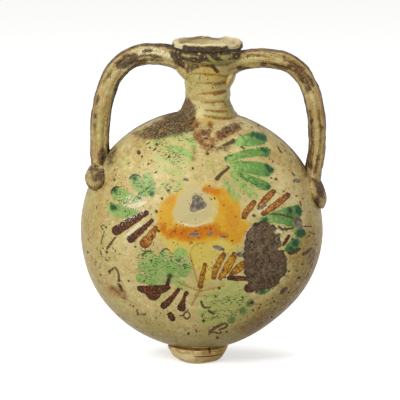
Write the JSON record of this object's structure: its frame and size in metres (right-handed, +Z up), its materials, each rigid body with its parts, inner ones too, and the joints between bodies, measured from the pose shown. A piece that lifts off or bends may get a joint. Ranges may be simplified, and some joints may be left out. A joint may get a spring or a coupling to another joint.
{
  "type": "pilgrim flask",
  "caption": "Flattened round earthenware flask on a small foot, with a ringed neck, a thick mouth collar and two strap handles for a carrying cord; stands on its foot and takes a cork.",
  "frame": {"origin": "on the ground under the middle of the whole flask's bounding box", "axes": "+Z up along the neck, +X towards the right-hand handle as seen from the painted front, +Y through the flat body from the painted front to the plain back"},
  "size_m": [0.2032, 0.13, 0.266],
  "materials": {
    "cream_glaze": "glossy yellowish cream lead glaze over light clay, painted, with brown pits",
    "plain_glaze": "the same glaze left plain, a little worn",
    "handle_glaze": "the same glaze, thin and streaked with brown along the strap",
    "thumbed_glaze": "dark brown glaze pooled in the thumbed clay",
    "bare_clay": "unglazed buff clay, matt"
  },
  "bodies": {
    "root": {"front_bowl": "cream_glaze", "back_bowl": "plain_glaze", "foot_ring": "bare_clay", "neck": "plain_glaze", "neck_coil": "plain_glaze", "mouth_collar": "plain_glaze", "left_handle": "handle_glaze", "right_handle": "handle_glaze", "left_root_wad": "thumbed_glaze", "right_root_wad": "thumbed_glaze", "left_thumb_pad": "thumbed_glaze", "right_thumb_pad": "thumbed_glaze"}
  },
  "joints": []
}
